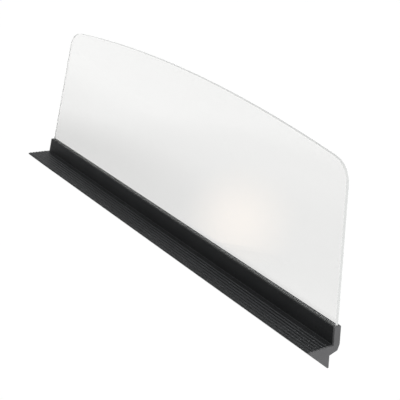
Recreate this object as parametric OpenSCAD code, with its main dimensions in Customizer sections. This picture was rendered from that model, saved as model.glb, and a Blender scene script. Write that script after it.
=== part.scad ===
/* [Rail] */
// Length of the guard over its end caps, at ledge height
rail_len = 914; // [600:1:1300]
// How far the ribbed ledge reaches in front of the upright
ledge_d = 52.5; // [40:0.5:70]
// Height of the upright above the ledge
upright_h = 30.5; // [26:0.5:45]
// Distance from the leg's back face to the upright's front face
leg_setback = 8; // [7:0.5:10]
// Depth of the leg below the ledge
leg_drop = 35; // [32:0.5:45]
// Width of the leg's flat bottom edge
leg_foot_w = 3; // [2.5:0.1:4]
// Height of the ledge's blunt front edge
nose_h = 2.5; // [2:0.1:4]
// Depth of the shoulder below the ledge, at its corner with the leg
notch_drop = 14.5; // [13:0.5:18]
// Depth of the shoulder below the ledge, at the rear bevel
bevel_drop = 10; // [8:0.5:12]
// Width of the rear bevel
bevel_w = 4.5; // [3:0.5:6]
// Thickness of the extrusion's walls
wall = 2.4; // [2:0.1:3]
// Thickness of the inner webs
web_t = 2; // [1.6:0.1:3]
// Angle that the ends and the panel's sides lean inwards
end_rake = 9.4; // [0:0.1:15]
// Radius of the extrusion's edges
edge_r = 0.8; // [0.3:0.1:1]
// Radius of the two corners of the rear bevel
bevel_r = 2.5; // [1:0.5:4]

/* [Ledge ribs] */
// Number of ribs
rib_count = 6; // [3:1:7]
// Spacing of the ribs
rib_pitch = 7.2; // [5:0.1:8]
// Distance from the ledge's front edge to the first rib
rib_start = 4.8; // [3:0.1:8]
// Width of a rib at its foot
rib_w = 3.6; // [2:0.1:4.5]
// Height of a rib
rib_h = 0.9; // [0.4:0.1:1.2]

/* [Panel] */
// Thickness of the clear panel
panel_t = 6; // [4:0.5:8]
// Height of the middle of the arched top above the ledge
panel_rise = 315; // [200:1:400]
// Radius of the arched top
arch_r = 2860; // [1500:10:6000]
// Radius of the top corners
corner_r = 41.5; // [10:0.5:60]
// Depth of the panel's foot in the channel
foot_depth = 20; // [16:0.5:22]

/* [Channel] */
// Thickness of the channel's front lip
front_lip_t = 3.4; // [3:0.1:5]
// Thickness of the channel's rear wall
rear_wall_t = 2.1; // [2:0.1:4]
// Thickness of the gasket's pad
gasket_t = 1.5; // [1:0.1:2.5]
// Height of the gasket's pad
gasket_h = 14; // [10:0.5:15]
// Depth of the gasket's stem in the front lip
stem_d = 1.5; // [1:0.1:2]
// Height of the gasket's stem
stem_h = 2; // [1.5:0.1:3]
// Thickness of the pressure strip behind the panel
strip_t = 1; // [0.8:0.1:2]
// Distance of the pressure strip's top edge below the top of the upright
strip_drop = 0.5; // [0:0.1:8]
// Thickness of the setting blocks under the panel
block_t = 3; // [2:0.5:4]
// Length of a setting block
block_len = 60; // [30:1:100]
// Number of setting blocks
block_count = 3; // [2:1:4]

/* [Clamp screws] */
// Number of clamp screws
clamp_count = 5; // [3:1:7]
// Radius of a clamp screw's thread
clamp_r = 2; // [1.5:0.5:2.5]
// Length of a clamp screw
clamp_len = 4; // [3:0.5:6]
// Distance of the clamp screws below the top of the upright
clamp_drop = 11; // [9:0.5:15]
// Distance of the outer clamp screws from the rail's ends
clamp_end = 60; // [40:1:100]

/* [End caps] */
// Thickness of an end cap's plate
cap_t = 3.5; // [2.5:0.1:6]
// Length of the spigots that press into the rail
spigot_len = 16; // [10:1:30]
// Wall of the hollow spigots
spigot_wall = 1.6; // [1.2:0.1:2]

/* [Counter fixing] */
// Distance of the fixing screws below the ledge
screw_drop = 24; // [21:0.5:26]
// Radius of the fixing holes in the leg
screw_r = 2.25; // [2:0.05:2.75]
// Radius of the driver holes in the sloping underside
driver_r = 5; // [4:0.5:6]
// Spacing of the fixing holes
screw_pitch = 280; // [150:1:290]
// Thickness of the foam seals against the counter
seal_t = 1.5; // [1:0.1:2]
// Height of the leg's seal
leg_seal_h = 14; // [10:0.5:16]
// Width of the shoulder's seal
shoulder_seal_w = 11; // [8:0.5:12]

/* [Hidden] */

// Clearances
slide_gap = 0.3;    // between the panel's foot and the end caps
spigot_gap = 0.15;  // around an end cap's spigots
stem_gap = 0.1;     // around the gasket's stem
thread_gap = 0.05;  // around a clamp screw
far = 2 * rail_len; // larger than the guard, for cutting solids
eps = 0.01;

// The origin is on the leg's back face, midway along the line of fixing screws.
// X runs along the rail, Y to the rear and Z up.
half_len = rail_len / 2;
ledge_z = screw_drop;
lip_z = ledge_z + upright_h;
leg_z = ledge_z - leg_drop;
notch_z = ledge_z - notch_drop;
bevel_z = ledge_z - bevel_drop;
channel_w = gasket_t + panel_t + strip_t;
front_y = leg_setback;
slot_y = front_y + front_lip_t;
panel_y = slot_y + gasket_t;
strip_y = panel_y + panel_t;
rear_wall_y = slot_y + channel_w;
rear_y = rear_wall_y + rear_wall_t;
bevel_y = rear_y - bevel_w;
nose_y = front_y - ledge_d;
foot_z = lip_z - foot_depth;
floor_z = foot_z - block_t;
strip_h = lip_z - strip_drop - floor_z;
clamp_z = lip_z - clamp_drop;
stem_z = lip_z - gasket_h / 2;
web_y = (nose_y + front_y) / 2;
leg_wall_y = -seal_t;

// Half the guard's length at height z
function end_x(z) = half_len - (z - ledge_z) * tan(end_rake);
// Height of the shoulder at depth y
function shoulder_z(y) = notch_z + (bevel_z - notch_z) * y / bevel_y;
shoulder_angle = atan((bevel_z - notch_z) / bevel_y);

// A convex outline listed anticlockwise, with edge i moved inwards by d[i]
function edge_dir(p, i) =
    let (v = p[(i + 1) % len(p)] - p[i % len(p)]) v / norm(v);
function edge_point(p, d, i) =
    let (u = edge_dir(p, i)) p[i] + d[i] * [-u[1], u[0]];
function crossing(a, u, b, v) =
    a + u * ((b[0] - a[0]) * v[1] - (b[1] - a[1]) * v[0]) / (u[0] * v[1] - u[1] * v[0]);
function inset(p, d) = [
    for (i = [0:len(p) - 1])
        let (j = (i + len(p) - 1) % len(p))
            crossing(edge_point(p, d, j), edge_dir(p, j), edge_point(p, d, i), edge_dir(p, i))];
function add_all(d, more) = [for (x = d) x + more];

// A rounding of radius r at corner i: how far along the edges it starts, and its centre
function corner_run(p, i, r) =
    r * tan(acos(edge_dir(p, i - 1 + len(p)) * edge_dir(p, i)) / 2);
function round_centre(p, i, r) =
    let (u = edge_dir(p, i - 1 + len(p)))
        p[i] - corner_run(p, i, r) * u + r * [-u[1], u[0]];

// The extrusion's corners, each with its depth, its height and its radius
CORNERS = [
    [nose_y, ledge_z - nose_h, edge_r],
    [-leg_foot_w, leg_z, edge_r],
    [0, leg_z, edge_r],
    [0, notch_z, 0],
    [bevel_y, bevel_z, bevel_r],
    [rear_y, ledge_z, bevel_r],
    [rear_y, lip_z, edge_r],
    [front_y, lip_z, edge_r],
    [front_y, ledge_z, 0],
    [nose_y, ledge_z, edge_r]];

// The hollow chambers: outer lines, and the wall left on each of them
under_slope = (leg_z - ledge_z + nose_h) / (-leg_foot_w - nose_y);
function under_z(y) = ledge_z - nose_h + (y - nose_y) * under_slope;
tip_y = nose_y - nose_h / -under_slope;
nose_chamber = [[tip_y, ledge_z], [web_y, under_z(web_y)], [web_y, ledge_z]];
nose_walls = [wall, web_t / 2, wall];
ledge_chamber = [
    [web_y, under_z(web_y)],
    [leg_wall_y, under_z(leg_wall_y)],
    [leg_wall_y, ledge_z],
    [web_y, ledge_z]];
ledge_walls = [wall, wall, wall, web_t / 2];
shoulder_chamber = [
    [leg_wall_y, shoulder_z(leg_wall_y)],
    [front_y, shoulder_z(front_y)],
    [front_y, ledge_z],
    [leg_wall_y, ledge_z]];
shoulder_walls = [wall + seal_t, web_t / 2, wall, 0];
upright_chamber = [
    [front_y, shoulder_z(front_y)],
    [bevel_y, bevel_z],
    [rear_y, ledge_z],
    [rear_y, floor_z],
    [front_y, floor_z]];
upright_walls = [wall + seal_t, wall, wall, wall, web_t / 2];
CHAMBERS = [
    [nose_chamber, nose_walls],
    [ledge_chamber, ledge_walls],
    [shoulder_chamber, shoulder_walls],
    [upright_chamber, upright_walls]];
SPIGOT_CHAMBERS = [CHAMBERS[1], CHAMBERS[3]];

// Centres of the panel's top corners, tangent inside both the arch and the sides
arch_z = ledge_z + panel_rise - arch_r;
side_normal = [cos(end_rake), sin(end_rake)];
function side_x(z) = end_x(z) - cap_t - slide_gap;
side_reach = side_x(ledge_z) * side_normal[0] + ledge_z * side_normal[1] - corner_r;
arch_offset = arch_z * side_normal[1];
corner_along = side_reach - arch_offset;
corner_rise = sqrt(pow(arch_r - corner_r, 2) - pow(corner_along, 2));
corner = [0, arch_z] + corner_along * side_normal + corner_rise * [-side_normal[1], side_normal[0]];
side_touch = corner + corner_r * side_normal;
arch_dir = (corner - [0, arch_z]) / norm(corner - [0, arch_z]);
arch_touch = corner + corner_r * arch_dir;
corner_tip = crossing(side_touch, [-side_normal[1], side_normal[0]],
    arch_touch, [arch_dir[1], -arch_dir[0]]);
foot_x = side_x(lip_z);
top_z = ledge_z + panel_rise;

// Turns a depth-and-height outline into a bar along X, centred on the origin
module along_x(length) {
    rotate([90, 0, 90]) linear_extrude(length, center = true) children();
}

// A rod along Y from depth y0 to depth y1
module rod_y(r, y0, y1) {
    translate([0, y0, 0]) rotate([-90, 0, 0]) cylinder(h = y1 - y0, r = r, $fn = 48);
}

// Everything past the raked end plane, moved inwards by inset_x
module past_end(inset_x) {
    translate([half_len - inset_x, 0, ledge_z]) rotate([0, -end_rake, 0])
        translate([0, -far / 2, -far / 2]) cube(far);
}

// Everything on the rail's side of that plane
module before_end(inset_x) {
    translate([half_len - inset_x, 0, ledge_z]) rotate([0, -end_rake, 0])
        translate([-far, -far / 2, -far / 2]) cube(far);
}

module trim_ends(inset_x) {
    difference() {
        children();
        past_end(inset_x);
        mirror([1, 0, 0]) past_end(inset_x);
    }
}

// The outline through corners listed anticlockwise, with its outer corners rounded
module rounded(corners) {
    p = [for (c = corners) [c[0], c[1]]];
    rounds = [for (i = [0:len(p) - 1]) if (corners[i][2] > 0) [i, corners[i][2]]];
    difference() {
        polygon(p);
        for (c = rounds) corner_kite(p, c[0], c[1]);
    }
    for (c = rounds) translate(round_centre(p, c[0], c[1])) circle(r = c[1], $fn = 64);
}

// The piece between a corner and its rounding, with its tip a little past the corner
module corner_kite(p, i, r) {
    run = corner_run(p, i, r);
    centre = round_centre(p, i, r);
    polygon([p[i] - run * edge_dir(p, i - 1 + len(p)), p[i] + (p[i] - centre) / 5,
        p[i] + run * edge_dir(p, i), centre]);
}

module ribbed_outline() {
    rib_r = (rib_w * rib_w / 4 + rib_h * rib_h) / (2 * rib_h);
    rounded(CORNERS);
    for (i = [0:rib_count - 1])
        translate([nose_y + rib_start + i * rib_pitch, ledge_z + rib_h - rib_r])
            circle(r = rib_r, $fn = 64);
}

module leg_seal_outline() {
    translate([-seal_t, -leg_seal_h / 2]) square([seal_t, leg_seal_h]);
}

module shoulder_seal_outline() {
    translate([0, notch_z]) rotate(shoulder_angle)
        translate([(bevel_y / cos(shoulder_angle) - shoulder_seal_w) / 2, 0])
            square([shoulder_seal_w, seal_t]);
}

module rail_section() {
    difference() {
        ribbed_outline();
        for (c = CHAMBERS) polygon(inset(c[0], c[1]));
        translate([slot_y, floor_z]) square([channel_w, far]);
        translate([slot_y - stem_d - stem_gap, stem_z - stem_h / 2 - stem_gap])
            square([stem_d + stem_gap + eps, stem_h + 2 * stem_gap]);
        leg_seal_outline();
        shoulder_seal_outline();
    }
}

module at_fixings() {
    for (i = [-1.5:1.5]) translate([i * screw_pitch, 0, 0]) children();
}

module at_clamp(i) {
    step = 2 * (half_len - clamp_end) / (clamp_count - 1);
    translate([-half_len + clamp_end + (i - 1) * step, 0, clamp_z]) children();
}

module rail() {
    color("#2b2c2e") difference() {
        trim_ends(cap_t) along_x(far) rail_section();
        at_fixings() {
            rod_y(screw_r, leg_wall_y - 2 * wall, 1);
            rod_y(driver_r, nose_y, leg_wall_y - 2 * wall);
        }
        for (i = [1:clamp_count]) at_clamp(i)
            rod_y(clamp_r + thread_gap, rear_wall_y - eps, rear_y + 1);
    }
}

module panel_outline() {
    difference() {
        intersection() {
            polygon([
                [-foot_x, foot_z], [foot_x, foot_z], [foot_x, lip_z],
                [side_x(top_z), top_z], [-side_x(top_z), top_z], [-foot_x, lip_z]]);
            translate([0, arch_z]) circle(r = arch_r, $fn = 1440);
        }
        for (s = [-1, 1])
            polygon([for (p = [corner, side_touch, corner_tip, arch_touch]) [s * p[0], p[1]]]);
    }
    for (s = [-1, 1]) translate([s * corner[0], corner[1]]) circle(r = corner_r, $fn = 180);
}

module panel() {
    color("#dfe6ea", 0.5) translate([0, strip_y, 0]) rotate([90, 0, 0])
        linear_extrude(panel_t) panel_outline();
}

module front_gasket() {
    color("#525350") trim_ends(cap_t + slide_gap) along_x(far) {
        translate([slot_y, lip_z - gasket_h]) square([gasket_t, gasket_h]);
        translate([slot_y - stem_d, stem_z - stem_h / 2]) square([stem_d + eps, stem_h]);
    }
}

module pressure_strip() {
    color("#b9bcc0") translate([0, strip_y, floor_z])
        translate([-foot_x, 0, 0]) cube([2 * foot_x, strip_t, strip_h]);
}

module setting_block(i) {
    step = 2 * foot_x / block_count;
    color("#1c1c1c") translate([-foot_x + (i - 0.5) * step - block_len / 2, panel_y, floor_z])
        cube([block_len, panel_t, block_t]);
}

module clamp_screw(i) {
    socket_r = clamp_r / 2;
    color("#3a3a3c") at_clamp(i) difference() {
        rod_y(clamp_r, rear_wall_y, rear_wall_y + clamp_len);
        translate([0, rear_wall_y + clamp_len / 2, 0]) rotate([-90, 0, 0])
            cylinder(h = clamp_len, r = socket_r, $fn = 6);
    }
}

module end_cap() {
    color("#343537") {
        difference() {
            translate([half_len, 0, 0]) along_x(rail_len / 4) ribbed_outline();
            past_end(0);
            before_end(cap_t);
        }
        for (c = SPIGOT_CHAMBERS) difference() {
            translate([half_len, 0, 0]) along_x(rail_len / 4)
                polygon(inset(c[0], add_all(c[1], spigot_gap)));
            translate([half_len, 0, 0]) along_x(rail_len / 2)
                polygon(inset(c[0], add_all(c[1], spigot_gap + spigot_wall)));
            past_end(cap_t - eps);
            before_end(cap_t + spigot_len);
        }
    }
}

module left_end_cap() {
    mirror([1, 0, 0]) end_cap();
}

module leg_seal() {
    color("#111111") difference() {
        trim_ends(cap_t) along_x(far) leg_seal_outline();
        at_fixings() rod_y(screw_r + seal_t / 2, -2 * seal_t, seal_t);
    }
}

module shoulder_seal() {
    color("#111111") trim_ends(cap_t) along_x(far) shoulder_seal_outline();
}

rail();
panel();
front_gasket();
pressure_strip();
for (i = [1:block_count])
    setting_block(i);
for (i = [1:clamp_count])
    clamp_screw(i);
left_end_cap();
end_cap();  // right_end_cap
leg_seal();
shoulder_seal();
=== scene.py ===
from math import cos, radians, sin, sqrt

import bpy
from mathutils import Euler, Matrix, Vector


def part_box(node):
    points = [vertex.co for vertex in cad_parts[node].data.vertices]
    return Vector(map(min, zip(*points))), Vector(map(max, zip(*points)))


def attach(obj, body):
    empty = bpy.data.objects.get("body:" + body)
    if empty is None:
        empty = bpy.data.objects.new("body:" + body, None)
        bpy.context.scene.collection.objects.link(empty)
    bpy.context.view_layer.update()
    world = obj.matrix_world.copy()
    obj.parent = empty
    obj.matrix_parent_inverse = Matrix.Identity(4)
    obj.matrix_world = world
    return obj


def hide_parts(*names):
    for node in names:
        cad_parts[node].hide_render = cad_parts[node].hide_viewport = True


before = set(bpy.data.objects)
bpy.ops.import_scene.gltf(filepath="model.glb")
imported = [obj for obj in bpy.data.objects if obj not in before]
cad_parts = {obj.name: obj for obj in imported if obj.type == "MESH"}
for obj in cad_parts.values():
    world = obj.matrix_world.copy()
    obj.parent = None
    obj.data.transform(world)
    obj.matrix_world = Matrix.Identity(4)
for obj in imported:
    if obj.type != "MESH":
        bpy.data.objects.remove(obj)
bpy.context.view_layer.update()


# ---- Rail ----------------------------------------------------------------------------------------
# One aluminium extrusion, sawn with leaning ends, drilled, deburred and then anodised satin black. Its
# ribbed ledge faces the guests, its upright holds the panel, and its leg hangs before the counter's edge.
MM = 0.001
END_RAKE = radians(9.4)
END_NORMAL = Vector((cos(END_RAKE), 0, sin(END_RAKE)))
LEDGE_Z = 24 * MM
HALF_LENGTH = 457 * MM
CAP_THICKNESS = 3.5 * MM
SAW_DEBURR = 0.3 * MM
HOLE_DEBURR = 0.4 * MM
ON_FACE = 0.02 * MM  # a corner this near to a plane counts as lying on it
ON_RIM = 0.05 * MM  # the same for the round rim of a hole and for the slope
WELD = 0.002 * MM  # corners nearer to each other than this become one
FLAT_TURN = radians(2.9)  # faces that turn less than this become one
FIXING_PITCH = 280 * MM
FIXING_X = [i * FIXING_PITCH for i in (-1.5, -0.5, 0.5, 1.5)]
FIXING_RADIUS = 2.25 * MM
DRIVER_RADIUS = 5 * MM
CLAMP_PITCH = 198.5 * MM
CLAMP_X = [i * CLAMP_PITCH for i in (-2, -1, 0, 1, 2)]
CLAMP_Z = 43.5 * MM
CLAMP_RADIUS = 2.05 * MM
SLOPE_FRONT_Y, SLOPE_FRONT_Z = -44.5 * MM, 21.5 * MM
SLOPE_FOOT_Y, SLOPE_FOOT_Z = -3 * MM, -11 * MM
LEG_WALL_BACK = -1.5 * MM
RAIL_REAR = 22 * MM


def edit(piece, mode="EDGE"):
    """Opens one piece in edit mode with nothing selected."""
    if bpy.context.object and bpy.context.object.mode == "EDIT":
        bpy.ops.object.mode_set(mode="OBJECT")
    bpy.ops.object.select_all(action="DESELECT")
    bpy.context.view_layer.objects.active = piece
    piece.select_set(True)
    bpy.ops.object.mode_set(mode="EDIT")
    bpy.ops.mesh.select_mode(type=mode)
    bpy.ops.mesh.select_all(action="DESELECT")


def done():
    """Leaves edit mode."""
    bpy.ops.object.mode_set(mode="OBJECT")


def pick(piece, test, kind="edges"):
    """Selects only the edges, polygons or vertices for which test is true."""
    bpy.ops.object.mode_set(mode="OBJECT")
    for elements in (piece.data.polygons, piece.data.edges, piece.data.vertices):
        for element in elements:
            element.select = False
    for element in getattr(piece.data, kind):
        element.select = bool(test(element))
    bpy.ops.object.mode_set(mode="EDIT")


def ends_of(piece, edge):
    """The places of an edge's two corners."""
    return [piece.data.vertices[i].co for i in edge.vertices]


def all_ends(piece, test):
    """A test for edges, true where test holds at both ends."""
    return lambda edge: all(test(p) for p in ends_of(piece, edge))


def past_end(point, inset):
    """How far a point lies past the leaning end plane of its own side, which is moved in by inset."""
    mirrored = Vector((abs(point.x), point.y, point.z))
    return (mirrored - Vector((HALF_LENGTH - inset, 0, LEDGE_Z))).dot(END_NORMAL)


def from_rod(point, x, z):
    """Distance of a point from a rod along Y."""
    return sqrt((point.x - x) ** 2 + (point.z - z) ** 2)


def merged_copy(node, name):
    """A copy of a CAD node's mesh with its loose triangles merged into clean faces."""
    piece = bpy.data.objects.new(name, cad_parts[node].data.copy())
    bpy.context.scene.collection.objects.link(piece)
    edit(piece)
    bpy.ops.mesh.select_all(action="SELECT")
    bpy.ops.mesh.remove_doubles(threshold=WELD)
    bpy.ops.mesh.customdata_custom_splitnormals_clear()
    bpy.ops.mesh.dissolve_limited(angle_limit=FLAT_TURN)
    bpy.ops.mesh.select_all(action="DESELECT")
    done()
    return piece


def finish_piece(piece, body, slot, material, *nodes, smooth=35):
    """Gives a finished mesh its shading, material and body, and hides the nodes it stands for. Slot is not
    used.
    """
    if bpy.context.object and bpy.context.object.mode == "EDIT":
        done()
    bpy.ops.object.select_all(action="DESELECT")
    bpy.context.view_layer.objects.active = piece
    piece.select_set(True)
    bpy.ops.object.transform_apply(location=True, rotation=True, scale=True)
    bpy.ops.object.shade_smooth_by_angle(angle=radians(smooth))
    weigh = piece.modifiers.new("weigh", "WEIGHTED_NORMAL")
    weigh.keep_sharp = True
    bpy.ops.object.modifier_apply(modifier="weigh")
    piece.data.materials.clear()
    piece.data.materials.append(material)
    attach(piece, body)
    if nodes:
        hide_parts(*nodes)


def linear(colour):
    """An sRGB hex colour as linear RGBA."""
    parts = [int(colour[i:i + 2], 16) / 255 for i in (1, 3, 5)]
    return [p / 12.92 if p <= 0.04045 else ((p + 0.055) / 1.055) ** 2.4 for p in parts] + [1]


def new_material(name):
    """An empty material with its Principled shader, and that shader."""
    material = bpy.data.materials.new(name)
    material.use_nodes = True
    return material, material.node_tree.nodes["Principled BSDF"]


def add(material, kind, inputs=None, **settings):
    """Adds a node: settings are its own, and inputs are its sockets' values or the outputs linked to them."""
    node = material.node_tree.nodes.new(kind)
    for name, value in settings.items():
        setattr(node, name, value)
    for name, value in (inputs or {}).items():
        link(material, node.inputs[name], value)
    return node


def link(material, socket, value):
    """Links an output to a socket, or sets the socket to a value."""
    if isinstance(value, bpy.types.NodeSocket):
        material.node_tree.links.new(value, socket)
    else:
        socket.default_value = value


rail = merged_copy("rail", "rail_extrusion")
edit(rail)
pick(rail, all_ends(rail, lambda p: abs(past_end(p, CAP_THICKNESS)) < ON_FACE))
bpy.ops.mesh.bevel(offset=SAW_DEBURR, segments=1, affect="EDGES")


def rim_of_hole(piece, x, z, radius, on_face):
    """A test for the edges round a hole along Y, where it opens in the face that on_face describes."""
    return all_ends(piece, lambda p: abs(from_rod(p, x, z) - radius) < ON_RIM and on_face(p))


def on_slope(point):
    """True on the sloping underside, where the drivers go in."""
    fall = (SLOPE_FOOT_Z - SLOPE_FRONT_Z) / (SLOPE_FOOT_Y - SLOPE_FRONT_Y)
    return abs(point.z - SLOPE_FRONT_Z - (point.y - SLOPE_FRONT_Y) * fall) < ON_RIM


for x in FIXING_X:
    pick(rail, rim_of_hole(rail, x, 0, FIXING_RADIUS, lambda p: abs(p.y - LEG_WALL_BACK) < ON_FACE))
    bpy.ops.mesh.bevel(offset=HOLE_DEBURR, segments=1, affect="EDGES")
    pick(rail, rim_of_hole(rail, x, 0, DRIVER_RADIUS, on_slope))
    bpy.ops.mesh.bevel(offset=HOLE_DEBURR, segments=2, affect="EDGES")
for x in CLAMP_X:
    pick(rail, rim_of_hole(rail, x, CLAMP_Z, CLAMP_RADIUS, lambda p: abs(p.y - RAIL_REAR) < ON_FACE))
    bpy.ops.mesh.bevel(offset=HOLE_DEBURR, segments=1, affect="EDGES")
done()

# Black anodised aluminium: a dyed oxide over etched metal. The eye gets a satin sheen that follows the
# long faces, with faint die lines along them and a slightly cloudy film. The real lines are about 0.2 mm
# apart; they are drawn at 0.9 mm so that they show.
anodised, shader = new_material("black_anodised_aluminium")
place = add(anodised, "ShaderNodeTexCoord").outputs["Object"]
along = add(anodised, "ShaderNodeMapping", {"Vector": place, "Scale": (0.012, 1, 1)}).outputs["Vector"]
die_lines = add(anodised, "ShaderNodeTexNoise", {"Vector": along, "Scale": 1 / (0.9 * MM), "Detail": 3.0,
                                                 "Roughness": 0.6})
broad = add(anodised, "ShaderNodeTexNoise", {"Vector": along, "Scale": 1 / (9 * MM), "Detail": 2.0})
film = add(anodised, "ShaderNodeTexNoise", {"Vector": place, "Scale": 1 / (45 * MM), "Detail": 3.0})
etch = add(anodised, "ShaderNodeTexNoise", {"Vector": place, "Scale": 1 / (0.5 * MM), "Detail": 2.0})
dye = add(anodised, "ShaderNodeMix", {"Factor": film.outputs["Fac"], "A": linear("#2a2b2c"),
                                      "B": linear("#343536")}, data_type="RGBA")
link(anodised, shader.inputs["Base Color"], dye.outputs["Result"])
shader.inputs["Metallic"].default_value = 0.9
sheen = add(anodised, "ShaderNodeMapRange", {"Value": broad.outputs["Fac"], "From Min": 0.3,
                                             "From Max": 0.7, "To Min": 0.46, "To Max": 0.58})
link(anodised, shader.inputs["Roughness"], sheen.outputs["Result"])
etched_skin = add(anodised, "ShaderNodeBump", {"Height": etch.outputs["Fac"], "Strength": 0.12,
                                               "Distance": 0.02 * MM})
lined = add(anodised, "ShaderNodeBump", {"Height": die_lines.outputs["Fac"], "Strength": 0.2,
                                         "Distance": 0.03 * MM, "Normal": etched_skin.outputs["Normal"]})
link(anodised, shader.inputs["Normal"], lined.outputs["Normal"])
finish_piece(rail, "rail_assembly", "rail", anodised, "rail")


# ---- Foam seals ----------------------------------------------------------------------------------
# Two strips of closed-cell rubber foam with a sticky back, in shallow recesses in the leg and the
# shoulder. The screws pull them flat on the counter's edge, and the leg's strip is punched where the
# screws pass.
SEAL_THICKNESS = 1.5 * MM
SEAL_EDGE = 0.45 * MM
PUNCH_RADIUS = 3 * MM
PUNCH_LENGTH = 10 * MM
SHOULDER_ANGLE = radians(14.42)
SHOULDER_SEAL_WIDTH = 11 * MM
UNCUT_HALF = 0.6  # half the length of a strip before its ends are cut to the rail's


def cut_ends(piece, inset):
    """Bisects both ends of a piece along the leaning end planes, and closes the cuts."""
    for side in (-1, 1):
        edit(piece)
        bpy.ops.mesh.select_all(action="SELECT")
        bpy.ops.mesh.bisect(plane_co=(side * (HALF_LENGTH - inset), 0, LEDGE_Z),
                            plane_no=(side * END_NORMAL.x, 0, END_NORMAL.z), use_fill=True, clear_outer=True)
    done()


def add_bar(name, low, high):
    """A bar between two corners, from a cube added at its size and place."""
    low, high = Vector(low), Vector(high)
    bpy.ops.object.select_all(action="DESELECT")
    bpy.ops.mesh.primitive_cube_add(size=1, location=(low + high) / 2)
    bar = bpy.context.object
    bar.scale = high - low
    bar.name = name
    bpy.ops.object.transform_apply(location=True, rotation=True, scale=True)
    return bar


def apply_boolean(piece, cutter, operation="DIFFERENCE"):
    """Cuts a piece with another, which is then removed."""
    cut = piece.modifiers.new("cut", "BOOLEAN")
    cut.operation = operation
    cut.solver = "EXACT"
    cut.object = cutter
    bpy.context.view_layer.objects.active = piece
    bpy.ops.object.modifier_apply(modifier="cut")
    bpy.data.objects.remove(cutter)


seal_low, seal_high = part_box("leg_seal")
leg_seal = add_bar("leg_foam_seal", (-UNCUT_HALF, seal_low.y, seal_low.z),
                   (UNCUT_HALF, seal_high.y, seal_high.z))
cut_ends(leg_seal, CAP_THICKNESS)
edit(leg_seal)
pick(leg_seal, all_ends(leg_seal, lambda p: p.y > seal_high.y - ON_FACE))
bpy.ops.mesh.bevel(offset=SEAL_EDGE, segments=4, affect="EDGES")
done()
for x in FIXING_X:
    bpy.ops.object.select_all(action="DESELECT")
    bpy.ops.mesh.primitive_cylinder_add(vertices=48, radius=PUNCH_RADIUS, depth=PUNCH_LENGTH,
                                        location=(x, 0, 0), rotation=(radians(90), 0, 0))
    apply_boolean(leg_seal, bpy.context.object)

rear_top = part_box("shoulder_seal")[1]
shoulder_seal = add_bar("shoulder_foam_seal", (-UNCUT_HALF, 0, 0),
                        (UNCUT_HALF, SHOULDER_SEAL_WIDTH, SEAL_THICKNESS))
edit(shoulder_seal)
pick(shoulder_seal, all_ends(shoulder_seal, lambda p: p.z < ON_FACE))
bpy.ops.mesh.bevel(offset=SEAL_EDGE, segments=4, affect="EDGES")
bpy.ops.mesh.select_all(action="SELECT")
bpy.ops.transform.rotate(value=-SHOULDER_ANGLE, orient_axis="X", center_override=(0, 0, 0))
done()
rise = max(v.co.z for v in shoulder_seal.data.vertices)
rear = max(v.co.y for v in shoulder_seal.data.vertices)
edit(shoulder_seal)
bpy.ops.mesh.select_all(action="SELECT")
bpy.ops.transform.translate(value=(0, rear_top.y - rear, rear_top.z - rise))
done()
cut_ends(shoulder_seal, CAP_THICKNESS)

# Closed-cell foam rubber: dull, nearly black, with a skin that shows its cells. The cells are about
# 0.4 mm; they are drawn at 0.8 mm so that they show.
foam, shader = new_material("closed_cell_foam_rubber")
place = add(foam, "ShaderNodeTexCoord").outputs["Object"]
cells = add(foam, "ShaderNodeTexVoronoi", {"Vector": place, "Scale": 1 / (0.8 * MM)}, feature="F1")
dust = add(foam, "ShaderNodeTexNoise", {"Vector": place, "Scale": 1 / (14 * MM), "Detail": 4.0})
tone = add(foam, "ShaderNodeMix", {"Factor": dust.outputs["Fac"], "A": linear("#1b1c1d"),
                                   "B": linear("#2a2b2c")}, data_type="RGBA")
link(foam, shader.inputs["Base Color"], tone.outputs["Result"])
shader.inputs["Roughness"].default_value = 0.92
shader.inputs["Specular IOR Level"].default_value = 0.3
skin = add(foam, "ShaderNodeBump", {"Height": cells.outputs["Distance"], "Strength": 0.5,
                                    "Distance": 0.12 * MM}, invert=True)
link(foam, shader.inputs["Normal"], skin.outputs["Normal"])
finish_piece(leg_seal, "rail_assembly", "seals", foam, "leg_seal")
finish_piece(shoulder_seal, "rail_assembly", "seals", foam, "shoulder_seal")


# ---- Setting blocks ------------------------------------------------------------------------------
# Three pads of hard neoprene on the channel's floor, which carry the panel's foot so that it never meets
# the metal. They are cut from moulded strip, with a drain groove across the underside.
BLOCK_EDGE = 0.5 * MM
GROOVE_WIDTH = 5 * MM
GROOVE_DEPTH = 0.8 * MM
FACING = 0.9  # a face points a way when its normal's share along it is past this
AIR_GAP = 0.1 * MM  # what touches the clear panel stays this far off it, so that the two faces don't coincide

low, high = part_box("setting_block_1")
high.z -= AIR_GAP
block = add_bar("setting_pad_1", low, high)
edit(block)
middle = (low.x + high.x) / 2
for x in (middle - GROOVE_WIDTH / 2, middle + GROOVE_WIDTH / 2):
    bpy.ops.mesh.select_all(action="SELECT")
    bpy.ops.mesh.bisect(plane_co=(x, 0, 0), plane_no=(1, 0, 0))
pick(block, lambda f: f.normal.z < -FACING and abs(f.center.x - middle) < GROOVE_WIDTH / 2, "polygons")
bpy.ops.transform.translate(value=(0, 0, GROOVE_DEPTH))
pick(block, all_ends(block, lambda p: p.z > high.z - ON_FACE))
bpy.ops.mesh.bevel(offset=BLOCK_EDGE, segments=3, affect="EDGES")
done()

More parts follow.
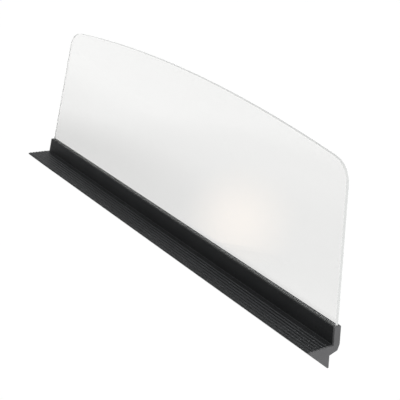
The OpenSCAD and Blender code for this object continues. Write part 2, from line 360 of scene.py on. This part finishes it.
# Moulded neoprene, about 85 Shore A: matte black with a faint grey bloom.
neoprene, shader = new_material("moulded_neoprene")
place = add(neoprene, "ShaderNodeTexCoord").outputs["Object"]
bloom = add(neoprene, "ShaderNodeTexNoise", {"Vector": place, "Scale": 1 / (6 * MM), "Detail": 4.0})
grain = add(neoprene, "ShaderNodeTexNoise", {"Vector": place, "Scale": 1 / (0.6 * MM), "Detail": 2.0})
tone = add(neoprene, "ShaderNodeMix", {"Factor": bloom.outputs["Fac"], "A": linear("#161616"),
                                       "B": linear("#262627")}, data_type="RGBA")
link(neoprene, shader.inputs["Base Color"], tone.outputs["Result"])
shader.inputs["Roughness"].default_value = 0.7
skin = add(neoprene, "ShaderNodeBump", {"Height": grain.outputs["Fac"], "Strength": 0.3,
                                        "Distance": 0.05 * MM})
link(neoprene, shader.inputs["Normal"], skin.outputs["Normal"])
finish_piece(block, "rail_assembly", "blocks", neoprene, "setting_block_1")
for number in (2, 3):
    node = f"setting_block_{number}"
    copied = bpy.data.objects.new(f"setting_pad_{number}", block.data.copy())
    bpy.context.scene.collection.objects.link(copied)
    copied.data.transform(Matrix.Translation(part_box(node)[0] - low))
    finish_piece(copied, "rail_assembly", "blocks", neoprene, node)


# ---- Pressure strip ------------------------------------------------------------------------------
# A flat bar of etched aluminium behind the panel's foot. The clamp screws push on it, and it spreads
# their push so that no screw ever touches the acrylic.
STRIP_EDGE = 0.2 * MM

low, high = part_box("pressure_strip")
low.y += AIR_GAP
strip = add_bar("pressure_strip_bar", low, high)
edit(strip)
bpy.ops.mesh.select_all(action="SELECT")
bpy.ops.mesh.bevel(offset=STRIP_EDGE, segments=2, affect="EDGES")
done()

# Etched and clear-anodised aluminium: a pale, matt film that scatters light, with faint rolling lines
# along the bar. The lines are about 0.1 mm apart; they are drawn at 0.6 mm so that they show.
etched, shader = new_material("clear_anodised_aluminium")
place = add(etched, "ShaderNodeTexCoord").outputs["Object"]
along = add(etched, "ShaderNodeMapping", {"Vector": place, "Scale": (0.01, 1, 1)}).outputs["Vector"]
rolled = add(etched, "ShaderNodeTexNoise", {"Vector": along, "Scale": 1 / (0.6 * MM), "Detail": 3.0})
tone = add(etched, "ShaderNodeMix", {"Factor": rolled.outputs["Fac"], "A": linear("#b4b7ba"),
                                     "B": linear("#d2d4d6")}, data_type="RGBA")
link(etched, shader.inputs["Base Color"], tone.outputs["Result"])
shader.inputs["Metallic"].default_value = 0.3
shader.inputs["Roughness"].default_value = 0.8
skin = add(etched, "ShaderNodeBump", {"Height": rolled.outputs["Fac"], "Strength": 0.3,
                                      "Distance": 0.02 * MM})
link(etched, shader.inputs["Normal"], skin.outputs["Normal"])
finish_piece(strip, "rail_assembly", "strip", etched, "pressure_strip")


# ---- Front gasket --------------------------------------------------------------------------------
# An extruded rubber pad between the front lip and the panel. Its stem snaps into a groove in the lip,
# and its rounded top closes the gap so that nothing is caught in the channel.
GASKET_INSET = 3.8 * MM
GASKET_BEAD = 0.7 * MM
STEM_DEPTH = 1.5 * MM
STEM_HEIGHT = 2 * MM
STEM_EDGE = 0.5 * MM

low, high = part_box("front_gasket")
high.y -= AIR_GAP
pad_front = low.y + STEM_DEPTH
stem_z = (low.z + high.z) / 2
gasket = add_bar("gasket_profile", (-UNCUT_HALF, pad_front, low.z), (UNCUT_HALF, high.y, high.z))
edit(gasket)
for z in (stem_z - STEM_HEIGHT / 2, stem_z + STEM_HEIGHT / 2):
    bpy.ops.mesh.select_all(action="SELECT")
    bpy.ops.mesh.bisect(plane_co=(0, 0, z), plane_no=(0, 0, 1))
pick(gasket, lambda f: f.normal.y < -FACING and abs(f.center.z - stem_z) < STEM_HEIGHT / 2, "polygons")
bpy.ops.mesh.extrude_region_move(TRANSFORM_OT_translate={"value": (0, -STEM_DEPTH, 0)})
pick(gasket, all_ends(gasket, lambda p: p.y < low.y + ON_FACE))
bpy.ops.mesh.bevel(offset=STEM_EDGE, segments=2, affect="EDGES")


def is_long_top_edge(edge):
    """True on the two edges along the gasket's top, which are rounded into its bead."""
    a, b = ends_of(gasket, edge)
    return min(a.z, b.z) > high.z - ON_FACE and abs(a.x - b.x) > UNCUT_HALF


pick(gasket, is_long_top_edge)
bpy.ops.mesh.bevel(offset=GASKET_BEAD, segments=6, affect="EDGES")
done()
cut_ends(gasket, GASKET_INSET)

# Extruded rubber of about 70 Shore A: warm dark grey and dull, with faint draw lines along it and a
# cloudy bloom. The draw lines are about 0.2 mm apart; they are drawn at 0.7 mm so that they show.
rubber, shader = new_material("extruded_rubber")
place = add(rubber, "ShaderNodeTexCoord").outputs["Object"]
along = add(rubber, "ShaderNodeMapping", {"Vector": place, "Scale": (0.03, 1, 1)}).outputs["Vector"]
drawn = add(rubber, "ShaderNodeTexNoise", {"Vector": along, "Scale": 1 / (0.7 * MM), "Detail": 3.0})
bloom = add(rubber, "ShaderNodeTexNoise", {"Vector": place, "Scale": 1 / (30 * MM), "Detail": 3.0})
tone = add(rubber, "ShaderNodeMix", {"Factor": bloom.outputs["Fac"], "A": linear("#4c4d4a"),
                                     "B": linear("#5a5b57")}, data_type="RGBA")
link(rubber, shader.inputs["Base Color"], tone.outputs["Result"])
shader.inputs["Roughness"].default_value = 0.6
skin = add(rubber, "ShaderNodeBump", {"Height": drawn.outputs["Fac"], "Strength": 0.25,
                                      "Distance": 0.04 * MM})
link(rubber, shader.inputs["Normal"], skin.outputs["Normal"])
finish_piece(gasket, "rail_assembly", "gasket", rubber, "front_gasket")


# ---- Panel ---------------------------------------------------------------------------------------
# One sheet of 6 mm clear cast acrylic, routed to an arched top with round corners, then flame-polished
# all round. Its foot stands on the pads and is squeezed between the gasket and the strip; it lifts out
# when the screws are slack.
ARCH_RADIUS = 2860 * MM
CORNER_RADIUS = 41.5 * MM
LIP_Z = 54.5 * MM
POLISHED_EDGE = 0.5 * MM
CORNER_STEPS = 180
ARCH_STEPS = 1440
MARGIN = 1 * MM  # slack in picking the stretches of the circles that aren't part of the outline
SHEET_TURN = radians(0.1)  # less than the turn from one step of the arch to the next
SHEET_FACING = 0.99  # faces past this share along Y are the sheet's front and back

low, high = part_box("panel")
foot_x = high.x
arch_centre = Vector((0, 0, high.z - ARCH_RADIUS))
up_side = Vector((-sin(END_RAKE), 0, cos(END_RAKE)))
# the corner's centre is CORNER_RADIUS in from the leaning side and from the arch: from start it goes up
# beside the side until it is ARCH_RADIUS - CORNER_RADIUS from the arch's centre
start = Vector((foot_x, 0, LIP_Z)) - CORNER_RADIUS * END_NORMAL - arch_centre
slant = start.dot(up_side)
way_up = sqrt(slant ** 2 - start.length_squared + (ARCH_RADIUS - CORNER_RADIUS) ** 2) - slant
corner_centre = arch_centre + start + way_up * up_side

# the foot, two corner circles and the arch's circle are cut down to the outline's corners, which are copied
# to the sheet's rear face and closed with a hull
bpy.ops.object.select_all(action="DESELECT")
bpy.ops.mesh.primitive_plane_add(size=1, location=(0, low.y, (low.z + LIP_Z) / 2),
                                 rotation=(radians(90), 0, 0))
panel = bpy.context.object
panel.name = "acrylic_panel"
panel.scale = (2 * foot_x, LIP_Z - low.z, 1)
bpy.ops.object.transform_apply(location=True, rotation=True, scale=True)
edit(panel, "VERT")
for side in (-1, 1):
    bpy.ops.mesh.primitive_circle_add(vertices=CORNER_STEPS, radius=CORNER_RADIUS,
                                      location=(side * corner_centre.x, low.y, corner_centre.z),
                                      rotation=(radians(90), 0, 0))
    bpy.ops.mesh.select_all(action="DESELECT")
bpy.ops.mesh.primitive_circle_add(vertices=ARCH_STEPS, radius=ARCH_RADIUS,
                                  location=(0, low.y, arch_centre.z), rotation=(radians(90), 0, 0))
arch_touch = (corner_centre - arch_centre).normalized() * ARCH_RADIUS + arch_centre
pick(panel, lambda v: abs(v.co.x) > arch_touch.x and (v.co - arch_centre).length > ARCH_RADIUS - MARGIN
     or v.co.z < low.z - MARGIN, "vertices")
bpy.ops.mesh.delete(type="VERT")
bpy.ops.mesh.select_all(action="SELECT")
bpy.ops.mesh.delete(type="EDGE_FACE")
bpy.ops.mesh.select_all(action="SELECT")
bpy.ops.mesh.duplicate_move(TRANSFORM_OT_translate={"value": (0, high.y - low.y, 0)})
bpy.ops.mesh.select_all(action="SELECT")
bpy.ops.mesh.convex_hull()
bpy.ops.mesh.select_all(action="SELECT")
bpy.ops.mesh.dissolve_limited(angle_limit=SHEET_TURN)
bpy.ops.mesh.normals_make_consistent(inside=False)
pick(panel, lambda e: abs(ends_of(panel, e)[0].y - ends_of(panel, e)[1].y) < ON_FACE)
bpy.ops.mesh.bevel(offset=POLISHED_EDGE, segments=3, affect="EDGES")
done()

# Clear cast acrylic: almost colourless, with the faint grey that a clear sheet has on white, mirror-like
# at a slant. Broad wipe marks from cleaning soften its reflections a little here and there.
acrylic, shader = new_material("clear_cast_acrylic")
place = add(acrylic, "ShaderNodeTexCoord").outputs["Object"]
wiped = add(acrylic, "ShaderNodeMapping", {"Vector": place, "Rotation": (0, radians(25), 0),
                                           "Scale": (0.25, 1, 1)}).outputs["Vector"]
wipe_marks = add(acrylic, "ShaderNodeTexNoise", {"Vector": wiped, "Scale": 1 / (25 * MM), "Detail": 2.0})
gloss = add(acrylic, "ShaderNodeMapRange", {"Value": wipe_marks.outputs["Fac"], "To Min": 0.015,
                                            "To Max": 0.025})
link(acrylic, shader.inputs["Roughness"], gloss.outputs["Result"])
shader.inputs["Base Color"].default_value = linear("#ececeb")
shader.inputs["Transmission Weight"].default_value = 1.0
shader.inputs["IOR"].default_value = 1.49

# Flame-polished edge with a painted glow: a share of milky white makes it show as a bright white line,
# standing in for light that gathers in the sheet and leaves here. The routed ripple under the polish,
# about 4 mm long, makes it shine unevenly.
polished_edge_glow, shader = new_material("flame_polished_edge_with_painted_glow")
place = add(polished_edge_glow, "ShaderNodeTexCoord").outputs["Object"]
ripple = add(polished_edge_glow, "ShaderNodeTexNoise", {"Vector": place, "Scale": 1 / (4 * MM), "Detail": 1.0})
shine = add(polished_edge_glow, "ShaderNodeMapRange", {"Value": ripple.outputs["Fac"], "To Min": 0.12, "To Max": 0.18})
link(polished_edge_glow, shader.inputs["Roughness"], shine.outputs["Result"])
shader.inputs["Base Color"].default_value = linear("#eeefee")
# painted glow: the edge lets only part of the light through and shows the rest as milky white
shader.inputs["Transmission Weight"].default_value = 0.65
shader.inputs["IOR"].default_value = 1.49
finish_piece(panel, "panel", "panel", acrylic, "panel", smooth=30)
panel.data.materials.append(polished_edge_glow)
for face in panel.data.polygons:
    face.material_index = int(abs(face.normal.y) < SHEET_FACING)


# ---- Clamp screws --------------------------------------------------------------------------------
# Five M4 socket set screws in tapped holes in the rear wall. They are thread-rolled alloy steel with a
# hexagon socket, and they push the strip, and through it the panel, against the gasket.
SCREW_RADIUS = 1.98 * MM
THREAD_PITCH = 0.7 * MM
THREAD_DEPTH = 0.4 * MM
THREAD_FLANK = 0.3 * THREAD_PITCH
THREAD_CREST = 0.15 * THREAD_PITCH
THREAD_ROOT = THREAD_PITCH - 2 * THREAD_FLANK - THREAD_CREST
THREAD_START = -2.6 * THREAD_PITCH
THREAD_TURNS = 11
THREAD_STEPS = 28
SCREW_CHAMFER = 0.45 * MM
BLANK_SPARE = 0.3 * MM
SOCKET_RADIUS = 1.15 * MM
SOCKET_DEPTH = 2.4 * MM
SOCKET_CUTTER_END = 10 * MM

low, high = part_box("clamp_screw_1")
axis_x, axis_z = (low.x + high.x) / 2, (low.z + high.z) / 2
length = high.y - low.y
# a small plane, merged into one corner, is drawn out into the outline of one pitch of the thread
bpy.ops.object.select_all(action="DESELECT")
bpy.ops.mesh.primitive_plane_add(size=THREAD_DEPTH, location=(0, 0, 0))
screw = bpy.context.object
screw.name = "set_screw_1"
edit(screw, "VERT")
bpy.ops.mesh.select_all(action="SELECT")
bpy.ops.mesh.merge(type="CENTER")
bpy.ops.transform.translate(value=(SCREW_RADIUS - THREAD_DEPTH, THREAD_START, 0))
for step in ((THREAD_DEPTH, THREAD_FLANK, 0), (0, THREAD_CREST, 0),
             (-THREAD_DEPTH, THREAD_FLANK, 0), (0, THREAD_ROOT, 0)):
    bpy.ops.mesh.extrude_region_move(TRANSFORM_OT_translate={"value": step})
done()
thread = screw.modifiers.new("thread", "SCREW")
thread.axis = "Y"
thread.screw_offset = THREAD_PITCH
thread.iterations = THREAD_TURNS
thread.steps = thread.render_steps = THREAD_STEPS
thread.use_merge_vertices = True
thread.merge_threshold = WELD
bpy.ops.object.modifier_apply(modifier="thread")
edit(screw, "VERT")
bpy.ops.mesh.select_all(action="SELECT")
bpy.ops.mesh.remove_doubles(threshold=WELD)
for cut_y, away in ((-BLANK_SPARE, -1), (length + BLANK_SPARE, 1)):
    bpy.ops.mesh.select_all(action="SELECT")
    bpy.ops.mesh.bisect(plane_co=(0, cut_y, 0), plane_no=(0, away, 0), use_fill=True, clear_outer=True)
bpy.ops.mesh.select_all(action="SELECT")
bpy.ops.mesh.normals_make_consistent(inside=False)
done()


def add_rod_y(radius, y0, y1, sides):
    """A rod along Y from y0 to y1."""
    bpy.ops.object.select_all(action="DESELECT")
    bpy.ops.mesh.primitive_cylinder_add(vertices=sides, radius=radius, depth=y1 - y0,
                                        location=(0, (y0 + y1) / 2, 0), rotation=(radians(90), 0, 0))
    bpy.ops.object.transform_apply(location=True, rotation=True, scale=True)
    return bpy.context.object


blank = add_rod_y(SCREW_RADIUS + BLANK_SPARE, 0, length, sides=50)
edit(blank)
pick(blank, lambda e: abs(ends_of(blank, e)[0].y - ends_of(blank, e)[1].y) < ON_FACE)
bpy.ops.mesh.bevel(offset=SCREW_CHAMFER + BLANK_SPARE, segments=1, affect="EDGES")
done()
apply_boolean(screw, blank, "INTERSECT")
apply_boolean(screw, add_rod_y(SOCKET_RADIUS, length - SOCKET_DEPTH, SOCKET_CUTTER_END, sides=6))
screw.data.transform(Matrix.Translation((axis_x, low.y, axis_z)))

# Thread-rolled steel, blackened in hot oxide and oiled: a dark satin metal with brown-black clouds.
blackened, shader = new_material("black_oxide_steel")
place = add(blackened, "ShaderNodeTexCoord").outputs["Object"]
clouds = add(blackened, "ShaderNodeTexNoise", {"Vector": place, "Scale": 1 / (1.5 * MM), "Detail": 3.0})
tone = add(blackened, "ShaderNodeMix", {"Factor": clouds.outputs["Fac"], "A": linear("#2b2a29"),
                                        "B": linear("#4a4a4b")}, data_type="RGBA")
link(blackened, shader.inputs["Base Color"], tone.outputs["Result"])
shader.inputs["Metallic"].default_value = 1.0
oil = add(blackened, "ShaderNodeMapRange", {"Value": clouds.outputs["Fac"], "To Min": 0.28, "To Max": 0.5})
link(blackened, shader.inputs["Roughness"], oil.outputs["Result"])
finish_piece(screw, "rail_assembly", "screws", blackened, "clamp_screw_1")
for number in (2, 3, 4, 5):
    node = f"clamp_screw_{number}"
    copied = bpy.data.objects.new(f"set_screw_{number}", screw.data.copy())
    bpy.context.scene.collection.objects.link(copied)
    copied.data.transform(Matrix.Translation(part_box(node)[0] - low))
    finish_piece(copied, "rail_assembly", "screws", blackened, node)


# ---- End caps ------------------------------------------------------------------------------------
# Two injection-moulded ABS caps that carry the rail's ribbed outline on. Each presses into the rail's two
# large chambers with hollow spigots, and closes the channel's end.
CAP_RIM = 0.5 * MM

# Moulded ABS with a spark-eroded grain: matte charcoal, softly mottled. The grain is about 0.15 mm; it is
# drawn at 0.5 mm so that it shows.
moulded, shader = new_material("spark_eroded_abs")
place = add(moulded, "ShaderNodeTexCoord").outputs["Object"]
grain = add(moulded, "ShaderNodeTexNoise", {"Vector": place, "Scale": 1 / (0.5 * MM), "Detail": 3.0})
flow = add(moulded, "ShaderNodeTexNoise", {"Vector": place, "Scale": 1 / (18 * MM), "Detail": 2.0})
tone = add(moulded, "ShaderNodeMix", {"Factor": flow.outputs["Fac"], "A": linear("#343435"),
                                      "B": linear("#3d3d3e")}, data_type="RGBA")
link(moulded, shader.inputs["Base Color"], tone.outputs["Result"])
shader.inputs["IOR"].default_value = 1.53
grip = add(moulded, "ShaderNodeMapRange", {"Value": grain.outputs["Fac"], "To Min": 0.5, "To Max": 0.7})
link(moulded, shader.inputs["Roughness"], grip.outputs["Result"])
skin = add(moulded, "ShaderNodeBump", {"Height": grain.outputs["Fac"], "Strength": 0.35,
                                       "Distance": 0.04 * MM})
link(moulded, shader.inputs["Normal"], skin.outputs["Normal"])
for side in ("left", "right"):
    cap = merged_copy(f"{side}_end_cap", f"{side}_moulded_cap")
    edit(cap)
    pick(cap, all_ends(cap, lambda p: abs(past_end(p, 0)) < ON_FACE))
    bpy.ops.mesh.bevel(offset=CAP_RIM, segments=3, affect="EDGES")
    finish_piece(cap, "rail_assembly", "caps", moulded, f"{side}_end_cap")


# ---- Floor and light -----------------------------------------------------------------------------
# A back-lit white sweep well below the guard, which hangs above it as if fixed to its counter. The room
# is white, with a softbox overhead and one on the right, and with soft cards that show in reflections only.
FLOOR_Z = -0.45
FLOOR_SIZE = 60

bpy.ops.object.select_all(action="DESELECT")
bpy.ops.mesh.primitive_plane_add(size=FLOOR_SIZE, location=(0, 0, FLOOR_Z))
floor = bpy.context.object
floor.name = "paper_sweep"
paper, shader = new_material("back_lit_white_sweep")
shader.inputs["Base Color"].default_value = linear("#101010")
shader.inputs["Specular IOR Level"].default_value = 0.0
shader.inputs["Emission Color"].default_value = linear("#ffffff")
shader.inputs["Emission Strength"].default_value = 1.0
floor.data.materials.append(paper)

world = bpy.data.worlds.new("white_room")
world.use_nodes = True
world.node_tree.nodes["Background"].inputs["Color"].default_value = (1, 1, 1, 1)
world.node_tree.nodes["Background"].inputs["Strength"].default_value = 1.0
bpy.context.scene.world = world
bpy.context.scene.view_settings.view_transform = "Standard"


def add_softbox(name, place, aim, size, power):
    """A white rectangular area light that faces a point."""
    light = bpy.data.objects.new(name, bpy.data.lights.new(name, "AREA"))
    light.data.shape = "RECTANGLE"
    light.data.size, light.data.size_y = size
    light.data.energy = power
    light.location = place
    light.rotation_euler = (Vector(aim) - Vector(place)).to_track_quat("-Z", "Y").to_euler()
    bpy.context.scene.collection.objects.link(light)
    return light


add_softbox("overhead_softbox", place=(0.2, -0.5, 2.2), aim=(0, 0, 0), size=(2.4, 1.4), power=45)
right_key = add_softbox("right_softbox", place=(2.3, -0.1, 0.15), aim=(0.46, 0, 0), size=(1.0, 1.0), power=50)
right_key.visible_glossy = right_key.visible_transmission = False


def add_card(name, place, radii, colour, strength=0, cover=1, fade_width=0.45, faces=(0, 0, 1)):
    """A soft-edged round card that shows only in reflections. Cover is how far it hides what is behind it."""
    bpy.ops.object.select_all(action="DESELECT")
    bpy.ops.mesh.primitive_plane_add(size=2, location=place)
    card = bpy.context.object
    card.name = name
    card.scale = (radii[0], radii[1], 1)
    card.rotation_euler = Vector(faces).to_track_quat("Z", "Y").to_euler()
    soft = bpy.data.materials.new(name)
    soft.use_nodes = True
    nodes = soft.node_tree.nodes
    nodes.remove(nodes["Principled BSDF"])
    centre = add(soft, "ShaderNodeTexCoord").outputs["Object"]
    fade = add(soft, "ShaderNodeTexGradient", {"Vector": centre}, gradient_type="SPHERICAL")
    edge = add(soft, "ShaderNodeMapRange", {"Value": fade.outputs["Fac"], "From Max": fade_width,
                                            "To Max": cover}, interpolation_type="SMOOTHSTEP")
    mirrored = add(soft, "ShaderNodeLightPath").outputs["Glossy Depth"]
    seen = add(soft, "ShaderNodeMath", {0: mirrored, 1: edge.outputs["Result"]}, operation="MULTIPLY",
               use_clamp=True)
    glow = add(soft, "ShaderNodeEmission", {"Color": linear(colour), "Strength": strength})
    open_edge = add(soft, "ShaderNodeBsdfTransparent")
    mixed = add(soft, "ShaderNodeMixShader", {"Fac": seen.outputs["Value"]})
    link(soft, mixed.inputs[1], open_edge.outputs["BSDF"])
    link(soft, mixed.inputs[2], glow.outputs["Emission"])
    link(soft, nodes["Material Output"].inputs["Surface"], mixed.outputs["Shader"])
    card.data.materials.append(soft)
    card.visible_camera = card.visible_diffuse = False
    card.visible_volume_scatter = card.visible_shadow = False


add_card("bright_card", (-1.9, -1.87, -0.43), radii=(2.5, 0.92), colour="#ffffff", strength=1.5)
add_card("dim_card", (-0.8, -1.15, -0.42), radii=(1.1, 0.7), colour="#000000", cover=0.32)
add_card("black_card", (-1.28, -0.6, -0.41), radii=(1.0, 0.5), colour="#000000", fade_width=0.7)
add_card("warm_card", (-0.6, -0.75, -0.34), radii=(0.2, 0.2), colour="#ffe7d0", strength=1.9, fade_width=1.0,
         faces=(0.665, 0.637, 0.39))


# ---- Camera --------------------------------------------------------------------------------------
# A long lens from the front right, looking down on the guard from about a metre and three quarters away,
# with the body rolled a little to the left.
camera = bpy.data.objects.new("camera", bpy.data.cameras.new("camera"))
bpy.context.scene.collection.objects.link(camera)
camera.location = (1.23999, -0.98838, 0.74202)
camera.rotation_euler = Euler((radians(67.6934), radians(-7.6336), radians(52.2591)), "XYZ")
camera.data.lens = 81.328
camera.data.sensor_width = 36
bpy.context.scene.camera = camera
